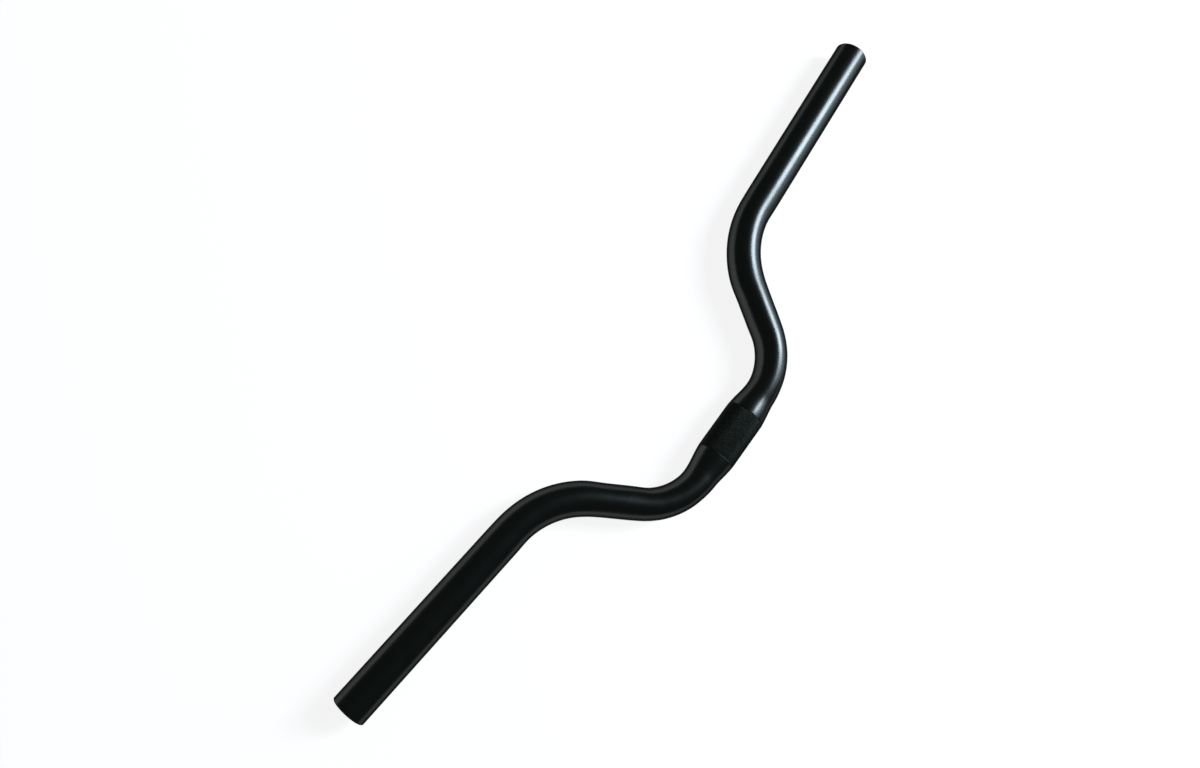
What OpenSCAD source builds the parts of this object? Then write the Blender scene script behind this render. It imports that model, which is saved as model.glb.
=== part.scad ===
// Riser handlebar for a bicycle: one bent tube, thicker in the middle, open at
// both ends. The origin is the centre of the clamped middle. +X runs along the
// bar, +Y is the way the grips rise and +Z is the way the bar faces as it lies.

/* [Middle] */
// Outside diameter of the middle, where the stem clamps
clamp_d = 25.4; // [25:0.1:32]
// Length of the middle at its full diameter
clamp_l = 28; // [20:1:80]
// Wall of the middle
clamp_wall = 2.4; // [1.8:0.1:4]
// Length of each taper, from the middle down to the tube
taper_l = 18; // [8:0.5:40]

/* [Tube] */
// Outside diameter of the bends and the grips
tube_d = 22.2; // [20:0.1:24]
// Wall of the bends and the grips
tube_wall = 2.1; // [1.2:0.1:3.5]

/* [Rise] */
// Radius of each lower bend, at the middle of the tube
lower_bend_r = 43.5; // [30:0.5:90]
// Angle of each lower bend
lower_bend_a = 58.5; // [20:0.5:75]
// Length of the straight tube between the two bends of a side
riser_l = 29.5; // [10:0.5:80]
// Radius of each upper bend, at the middle of the tube
upper_bend_r = 58.5; // [30:0.5:90]
// Angle at which the grips still climb after the upper bends
upsweep = 5; // [1:0.5:15]
// How much bending draws in the tube, outside and in the bore
bend_draw = 0.05; // [0.03:0.01:0.3]
// How far each straight tube laps over the end of a bend
bend_lap = 0.3; // [0.1:0.1:1]

/* [Grips] */
// Length of the straight tube that takes a grip
grip_l = 132; // [100:0.5:200]
// Chamfer on the outer edge of each open end
rim_chamfer = 0.6; // [0.2:0.1:1]

/* [Hidden] */
$fn = 96;
clamp_r = clamp_d / 2;
tube_r = tube_d / 2;
clamp_bore_r = clamp_r - clamp_wall;
tube_bore_r = tube_r - tube_wall;
middle_half = clamp_l / 2 + taper_l;
upper_bend_a = lower_bend_a - upsweep;
taper_steps = 8;
finish = [0.08, 0.08, 0.085];

// Part of a taper's drop at u from 0 to 1: flat at both ends, steepest between.
function ease(u) = u * u * (3 - 2 * u);

// Outside radius of a taper at u from 0 (middle) to 1 (tube).
function taper_r(u) = clamp_r + (tube_r - clamp_r) * ease(u);

// Turned piece along +X from a list of [radius, x] points.
module turned(profile) {
    rotate([0, 90, 0])
        rotate_extrude()
            polygon(profile);
}

// Cross-section of a bend, where the wall is a little thinner.
module ring() {
    difference() {
        circle(r = tube_r - bend_draw);
        circle(r = tube_bore_r + bend_draw);
    }
}

// Bend that leaves the origin along +X and turns towards +Y.
module bend(radius, angle) {
    translate([0, radius, 0])
        rotate([0, 0, -90])
            rotate_extrude(angle = angle)
                translate([radius, 0])
                    ring();
}

// Places its children at the end of such a bend, with +X along the tube.
module after_bend(radius, angle) {
    translate([0, radius, 0])
        rotate([0, 0, angle])
            translate([0, -radius, 0])
                children();
}

// Middle with its two tapers. Like each straight tube, it laps over the bends.
module middle() {
    taper = [for (i = [0 : taper_steps]) i / taper_steps];
    right = [for (u = taper) [taper_r(u), clamp_l / 2 + taper_l * u]];
    left = [for (i = [taper_steps : -1 : 0]) [right[i][0], -right[i][1]]];
    end = middle_half + bend_lap;
    turned(concat(
        [[tube_bore_r, -end], [tube_r, -end]],
        left,
        right,
        [[tube_r, end], [tube_bore_r, end]],
        [[tube_bore_r, middle_half], [clamp_bore_r, clamp_l / 2]],
        [[clamp_bore_r, -clamp_l / 2], [tube_bore_r, -middle_half]]
    ));
}

// Straight tube between the two bends.
module riser() {
    turned([
        [tube_bore_r, -bend_lap],
        [tube_r, -bend_lap],
        [tube_r, riser_l + bend_lap],
        [tube_bore_r, riser_l + bend_lap]
    ]);
}

// Straight tube that takes a grip, with its chamfered open end.
module grip_seat() {
    turned([
        [tube_bore_r, -bend_lap],
        [tube_r, -bend_lap],
        [tube_r, grip_l - rim_chamfer],
        [tube_r - rim_chamfer, grip_l],
        [tube_bore_r, grip_l]
    ]);
}

// Everything on the +X side of the middle.
module side() {
    translate([middle_half, 0, 0]) {
        bend(lower_bend_r, lower_bend_a);
        after_bend(lower_bend_r, lower_bend_a) {
            riser();
            translate([riser_l, 0, 0])
                mirror([0, 1, 0]) {
                    bend(upper_bend_r, upper_bend_a);
                    after_bend(upper_bend_r, upper_bend_a)
                        grip_seat();
                }
        }
    }
}

// The whole bar.
module handlebar() {
    color(finish)
        union() {
            middle();
            side();
            mirror([1, 0, 0])
                side();
        }
}

handlebar();
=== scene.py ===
import bpy
import numpy as np
from mathutils import Matrix


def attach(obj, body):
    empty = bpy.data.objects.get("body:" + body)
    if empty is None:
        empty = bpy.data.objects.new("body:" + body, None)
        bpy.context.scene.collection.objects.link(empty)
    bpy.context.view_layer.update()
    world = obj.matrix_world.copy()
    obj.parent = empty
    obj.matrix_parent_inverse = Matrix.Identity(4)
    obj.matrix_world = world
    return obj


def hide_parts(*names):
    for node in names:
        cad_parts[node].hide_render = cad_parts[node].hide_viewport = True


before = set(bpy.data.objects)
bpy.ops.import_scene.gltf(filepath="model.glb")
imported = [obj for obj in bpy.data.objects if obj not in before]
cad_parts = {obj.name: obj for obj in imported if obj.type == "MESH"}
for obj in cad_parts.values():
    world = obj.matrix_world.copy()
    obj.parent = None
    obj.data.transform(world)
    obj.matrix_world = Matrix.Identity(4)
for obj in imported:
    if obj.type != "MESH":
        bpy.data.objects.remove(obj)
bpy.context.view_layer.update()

# The handlebar: one aluminium tube, 22.2 mm across, swaged out to 25.4 mm in the
# middle for the stem, bent four times in one plane and cut square at both ends.
# The middle is rolled with a fine straight knurl, so that the stem can't slip.
# All its sizes are in millimetres.
MM = 0.001
TUBE_R = 11.1
MIDDLE_R = 12.7
BORE_R = 9.0
MIDDLE_BORE_R = 10.3
MIDDLE_HALF = 14.0
TAPER_L = 18.0
LOWER_BEND_R = 43.5
LOWER_BEND_ANGLE = np.radians(58.5)
RISER_L = 29.5
UPPER_BEND_R = 58.5
UPSWEEP = np.radians(5.0)
GRIP_L = 132.0

# Straights and bends of the right half, from the middle out: length and turn
STRAIGHT_L = MIDDLE_HALF + TAPER_L
UPPER_BEND_ANGLE = LOWER_BEND_ANGLE - UPSWEEP
RUNS = np.array([
    [STRAIGHT_L, 0.0],
    [LOWER_BEND_R * LOWER_BEND_ANGLE, LOWER_BEND_ANGLE],
    [RISER_L, 0.0],
    [UPPER_BEND_R * UPPER_BEND_ANGLE, -UPPER_BEND_ANGLE],
    [GRIP_L, 0.0],
])
JOINTS = np.concatenate([[0.0], np.cumsum(RUNS[:, 0])])
HALF_LENGTH = JOINTS[-1]


def centreline(s):
    """Point and heading of the bar's centreline at arc length s from its middle.

    It adds up what each run gives over the part of it that s has covered. A
    straight gives its length times the cosine and sine of its heading h0. A bend
    of curvature k, which turns h0 into h, gives (sin h - sin h0, cos h0 - cos h)
    / k. The left half is the right half mirrored in x."""
    away = np.abs(s)
    x, y, heading = np.zeros_like(away), np.zeros_like(away), np.zeros_like(away)
    h0 = 0.0
    for start, (length, turn) in zip(JOINTS, RUNS):
        run = np.clip(away - start, 0.0, length)
        if turn:
            k = turn / length
            h = h0 + k * run
            x += (np.sin(h) - np.sin(h0)) / k
            y += (np.cos(h0) - np.cos(h)) / k
            heading += k * run
        else:
            x += np.cos(h0) * run
            y += np.sin(h0) * run
        h0 += turn
    side = np.where(s < 0.0, -1.0, 1.0)
    return side * x, y, side * heading


def ease(u):
    """0 below u = 0, 1 above u = 1 and u * u * (3 - 2 u) between."""
    u = np.clip(u, 0.0, 1.0)
    return u * u * (3.0 - 2.0 * u)


def outside_radius(s):
    """The middle's radius, eased down over each taper to the tube's."""
    taper = ease((np.abs(s) - MIDDLE_HALF) / TAPER_L)
    return MIDDLE_R + (TUBE_R - MIDDLE_R) * taper


def bore_radius(s):
    """The bore's radius: wider in the middle, with a straight cone at each taper."""
    return np.interp(np.abs(s), [MIDDLE_HALF, STRAIGHT_L], [MIDDLE_BORE_R, BORE_R])


# Bending flattens the tube: the share by which it gets thinner in the bar's plane
# in the lower bends, the straights after them and the upper bends, the length of
# the change at each joint, and the share of the loss that it gains the other way
FLATTENING = np.array([0.09, 0.06, 0.02])
CHANGE_L = np.array([22.0, 16.0, 16.0, 16.0])
GAIN = 0.35


def flattening(s):
    """The sum of one ease per joint, centred on it, as high as the step there."""
    steps = np.diff(FLATTENING, prepend=0.0, append=0.0)
    away = np.abs(s)[:, None]
    return (steps * ease((away - JOINTS[1:5]) / CHANGE_L + 0.5)).sum(axis=1)


def rings(s, radius, around):
    """One ring of points about the centreline for each s: the radius times the
    cosine of the angle to the side and times its sine up, flattened in the bends.

    radius is one value a ring, or one a point. The angle runs from the +Y side
    towards +Z."""
    x, y, heading, flat = (v[:, None] for v in (*centreline(s), flattening(s)))
    angle = np.linspace(0.0, 2.0 * np.pi, around, endpoint=False)[None, :]
    radius = radius if radius.ndim == 2 else radius[:, None]
    side = radius * (1.0 - flat) * np.cos(angle)
    height = radius * (1.0 + GAIN * flat) * np.sin(angle)
    points = np.stack([x - np.sin(heading) * side, y + np.cos(heading) * side, height], axis=2)
    return points.reshape(-1, 3) * MM


def ring_faces(count, around, first):
    """Quads between neighbouring rings, facing out of the metal: point j of ring i
    is number first + i * around + j."""
    i, j = np.meshgrid(np.arange(count - 1), np.arange(around), indexing="ij")
    k = (j + 1) % around
    return first + np.stack([i * around + j, i * around + k,
                             (i + 1) * around + k, (i + 1) * around + j], axis=2).reshape(-1, 4)


# Points round the plain tube and round the knurl, and the knurl's half length
RIDGES = 84
POINTS_PER_RIDGE = 6
AROUND = 126
FINE = RIDGES * POINTS_PER_RIDGE
SPLIT = FINE // AROUND
KNURL_HALF = 17.0
KNURL_GAP = 0.05

# Rings along the outside of the right half, closer together in the bends
RIM_L = 1.2
outer = np.concatenate([
    np.linspace(KNURL_HALF + KNURL_GAP, JOINTS[1], 24),
    np.linspace(JOINTS[1], JOINTS[2], 36)[1:],
    np.linspace(JOINTS[2], JOINTS[3], 9)[1:],
    np.linspace(JOINTS[3], JOINTS[4], 42)[1:],
    np.linspace(JOINTS[4], HALF_LENGTH - RIM_L, 34)[1:],
])

# The cut end with its broken edges, from the outside to the bore: the distance
# from the end and the radius
RIM = np.array([
    [0.75, 11.10], [0.58, 11.08], [0.45, 10.98], [0.12, 10.63], [0.02, 10.50], [0.0, 10.38],
    [0.0, 9.55], [0.0, 9.25], [0.06, 9.10], [0.22, 9.01], [0.6, 9.0],
])
rim_s = HALF_LENGTH - RIM[:, 0]
BORE_START = 1.0
inner = np.linspace(HALF_LENGTH - BORE_START, -(HALF_LENGTH - BORE_START), 170)

# The plain skin runs from the knurl's right edge to the right end, round the rim,
# back through the bore to the left end, and outside again to the knurl's left edge
shell_s = np.concatenate([outer, rim_s, inner, -rim_s[::-1], -outer[::-1]])
shell_r = np.concatenate([outside_radius(outer), RIM[:, 1], bore_radius(inner),
                          RIM[::-1, 1], outside_radius(outer)[::-1]])
shell = rings(shell_s, shell_r, AROUND)

# The knurl: shallow grooves along the bar, one every 0.95 mm round the middle,
# that run out just before its edges. The rolling was a little uneven, so their
# depth wavers by a tenth, along each groove and from one to the next.
GROOVE_DEPTH = 0.2
GROOVE_PROFILE = np.array([0.0, 0.0, 0.55, 1.0, 1.0, 0.55])
PLAIN_EDGE = 0.25
RUN_OUT = 0.5
WAVER = 0.1
WAVER_PER_MM = 0.9
WAVERS_AROUND = 17
EDGE_L = 1.4
KNURL_MIDDLE = 15.0
edge_rows = np.linspace(-KNURL_HALF, -KNURL_HALF + EDGE_L, 9)
knurl_s = np.concatenate([edge_rows, np.linspace(-KNURL_MIDDLE, KNURL_MIDDLE, 21), -edge_rows[::-1]])
depth = GROOVE_DEPTH * ease((KNURL_HALF - PLAIN_EDGE - np.abs(knurl_s)) / RUN_OUT)
phase = np.linspace(0.0, WAVERS_AROUND * 2.0 * np.pi, FINE)
rolled = 1.0 - WAVER * np.sin(WAVER_PER_MM * knurl_s[:, None] + phase[None, :])
groove = depth[:, None] * np.tile(GROOVE_PROFILE, RIDGES) * rolled
knurl = rings(knurl_s, outside_radius(knurl_s)[:, None] - groove, FINE)

# The two grids join ring to ring, with one many-sided face for each wide quad
knurl_first = len(shell)
shell_last = len(shell) - AROUND
knurl_last = knurl_first + len(knurl) - FINE
j = np.arange(AROUND)[:, None]
next_j = (j + 1) % AROUND
fan = (SPLIT * j + np.arange(SPLIT + 1)[None, :]) % FINE
left_join = np.concatenate([shell_last + j, shell_last + next_j, knurl_first + fan[:, ::-1]], axis=1)
right_join = np.concatenate([knurl_last + fan, next_j, j], axis=1)
shell_quads = ring_faces(len(shell_s), AROUND, 0)
knurl_quads = ring_faces(len(knurl_s), FINE, knurl_first)
mesh = bpy.data.meshes.new("handlebar_tube")
mesh.from_pydata(np.concatenate([shell, knurl]).tolist(), [],
                 shell_quads.tolist() + knurl_quads.tolist()
                 + left_join.tolist() + right_join.tolist())
mesh.polygons.foreach_set("use_smooth", np.ones(len(mesh.polygons), dtype=bool))
handlebar = bpy.data.objects.new("handlebar_tube", mesh)
bpy.context.collection.objects.link(handlebar)


def node(tree, kind, inputs=(), **settings):
    """A shader node with its settings and its sockets' values or links."""
    made = tree.nodes.new(kind)
    for name, value in settings.items():
        setattr(made, name, value)
    for name, value in dict(inputs).items():
        if isinstance(value, bpy.types.NodeSocket):
            tree.links.new(value, made.inputs[name])
        else:
            made.inputs[name].default_value = value
    return made


def black_finish(name, dark, pale, roughness, grain_depth):
    """Black anodised aluminium: a metal that throws back about a twentieth of
    the light at any angle. Its shade drifts between dark and pale, soft patches
    are smoother where hands have polished it, and it has the blasting's grain."""
    material = bpy.data.materials.new(name)
    material.use_nodes = True
    tree = material.node_tree
    tree.nodes.clear()
    place = node(tree, "ShaderNodeTexCoord").outputs["Object"]
    drift = node(tree, "ShaderNodeTexNoise", {"Vector": place, "Scale": 38.0, "Detail": 4.0})
    colour = node(tree, "ShaderNodeMix", {
        "Factor": drift.outputs["Fac"], "A": (*dark, 1.0), "B": (*pale, 1.0)}, data_type="RGBA")
    patches = node(tree, "ShaderNodeTexNoise", {
        "Vector": place, "Scale": 90.0, "Detail": 6.0, "Roughness": 0.6})
    rough = node(tree, "ShaderNodeMapRange", {
        "Value": patches.outputs["Fac"], "From Min": 0.3, "From Max": 0.7,
        "To Min": roughness * 0.92, "To Max": roughness * 1.1})
    grain = node(tree, "ShaderNodeTexNoise", {"Vector": place, "Scale": 2600.0, "Detail": 2.0})
    bump = node(tree, "ShaderNodeBump", {
        "Height": grain.outputs["Fac"], "Strength": 1.0, "Distance": grain_depth})
    skin = node(tree, "ShaderNodeBsdfPrincipled", {
        "Base Color": colour.outputs["Result"], "Roughness": rough.outputs["Result"],
        "Normal": bump.outputs["Normal"], "Metallic": 1.0,
        "Specular Tint": (0.3, 0.3, 0.3, 1.0)})
    node(tree, "ShaderNodeOutputMaterial", {"Surface": skin.outputs["BSDF"]})
    return material


# The knurl has no polish left on it, so it is darker and duller than the tube
SATIN_DARK = (0.040, 0.044, 0.043)
SATIN_PALE = (0.046, 0.048, 0.047)
KNURLED_DARK = (0.0145, 0.0165, 0.0145)
KNURLED_PALE = (0.0195, 0.022, 0.0195)
mesh.materials.append(black_finish("satin_black", SATIN_DARK, SATIN_PALE, 0.27, 0.000004))
mesh.materials.append(black_finish("knurled_black", KNURLED_DARK, KNURLED_PALE, 0.4, 0.000012))
is_knurl = np.zeros(len(mesh.polygons), dtype=np.int32)
is_knurl[len(shell_quads):len(shell_quads) + len(knurl_quads)] = 1
mesh.polygons.foreach_set("material_index", is_knurl)
mesh.update()
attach(handlebar, "root")
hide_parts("handlebar")

# The table that the bar lies on: a plain white board, wide enough to reach the
# horizon. It glows evenly to the camera and in reflections, and its paint takes
# the rest of its light from the lamps, so the bar's shadow stays on it.
FLOOR_Z = -MIDDLE_R * MM
FLOOR_HALF = 40.0
GLOW = 0.88
PAINT = (0.18, 0.18, 0.18, 1.0)
board = bpy.data.meshes.new("floor")
board.from_pydata([(-FLOOR_HALF, -FLOOR_HALF, FLOOR_Z), (FLOOR_HALF, -FLOOR_HALF, FLOOR_Z),
                   (FLOOR_HALF, FLOOR_HALF, FLOOR_Z), (-FLOOR_HALF, FLOOR_HALF, FLOOR_Z)],
                  [], [(0, 1, 2, 3)])
floor = bpy.data.objects.new("floor", board)
bpy.context.collection.objects.link(floor)
white_board = bpy.data.materials.new("white_board")
white_board.use_nodes = True
tree = white_board.node_tree
tree.nodes.clear()
rays = node(tree, "ShaderNodeLightPath").outputs
seen = rays["Is Camera Ray"]
for kind in ("Is Glossy Ray", "Is Transmission Ray"):
    seen = node(tree, "ShaderNodeMath", {0: seen, 1: rays[kind]},
                operation="MAXIMUM").outputs["Value"]
strength = node(tree, "ShaderNodeMath", {0: seen, 1: GLOW}, operation="MULTIPLY")
glow = node(tree, "ShaderNodeEmission", {"Strength": strength.outputs["Value"]})
paint = node(tree, "ShaderNodeBsdfDiffuse", {"Color": PAINT})
both = node(tree, "ShaderNodeAddShader", {0: paint.outputs["BSDF"], 1: glow.outputs["Emission"]})
node(tree, "ShaderNodeOutputMaterial", {"Surface": both.outputs["Shader"]})
board.materials.append(white_board)

# The light: a soft box like a window to the right, a paler wall round it, and a
# dim even room
ROOM_COLOUR = (0.8, 1.0, 0.92, 1.0)
ROOM_STRENGTH = 0.1
LAMP_COLOUR = (0.77, 0.88, 1.0)
world = bpy.data.worlds.new("room")
bpy.context.scene.world = world
world.use_nodes = True
room = world.node_tree.nodes["Background"]
room.inputs["Color"].default_value = ROOM_COLOUR
room.inputs["Strength"].default_value = ROOM_STRENGTH


def soft_box(name, azimuth, elevation, roll, distance, width, height, radiance):
    """A rectangular lamp that faces the bar's middle from that azimuth (from +X
    towards +Y) and elevation, turned by roll, in degrees and metres. A lamp of
    area A that looks as bright as a surface of radiance L gives pi * A * L."""
    a, e, r = np.radians([azimuth, elevation, roll])
    back = np.array([np.cos(e) * np.cos(a), np.cos(e) * np.sin(a), np.sin(e)])
    level = np.array([-np.sin(a), np.cos(a), 0.0])
    upright = np.cross(back, level)
    turned = np.stack([np.cos(r) * level + np.sin(r) * upright,
                       np.cos(r) * upright - np.sin(r) * level, back], axis=1)
    lamp = bpy.data.lights.new(name, "AREA")
    lamp.shape = "RECTANGLE"
    lamp.size, lamp.size_y = width, height
    lamp.energy = np.pi * width * height * radiance
    lamp.color = LAMP_COLOUR
    box = bpy.data.objects.new(name, lamp)
    place = Matrix.Translation((back * distance).tolist())
    box.matrix_world = place @ Matrix(turned.tolist()).to_4x4()
    bpy.context.collection.objects.link(box)


soft_box("window", -31.5, 42.6, -19.0, 2.0, 0.56, 0.86, 30.0)
soft_box("window_surround", -34.0, 23.0, 0.0, 2.3, 1.8, 1.6, 2.5)

# The camera: half a metre above the bar, on the grips' side and to the left of
# the middle, looking down. right and up are the directions across and up the
# picture, made square to each other.
LENS = 27.0
SENSOR = 36.0
camera_data = bpy.data.cameras.new("camera")
camera_data.lens = LENS
camera_data.sensor_width = SENSOR
camera = bpy.data.objects.new("camera", camera_data)
eye = np.array([-0.14519, 0.14333, 0.53197])
right = np.array([0.5938, -0.7746, 0.21771])
up = np.array([0.77498, 0.62335, 0.1041])
right = right / np.linalg.norm(right)
up = up - right * (up @ right)
up = up / np.linalg.norm(up)
view = np.stack([right, up, np.cross(right, up)], axis=1)
camera.matrix_world = Matrix.Translation(eye.tolist()) @ Matrix(view.tolist()).to_4x4()
bpy.context.collection.objects.link(camera)
bpy.context.scene.camera = camera
bpy.context.scene.view_settings.view_transform = "Standard"
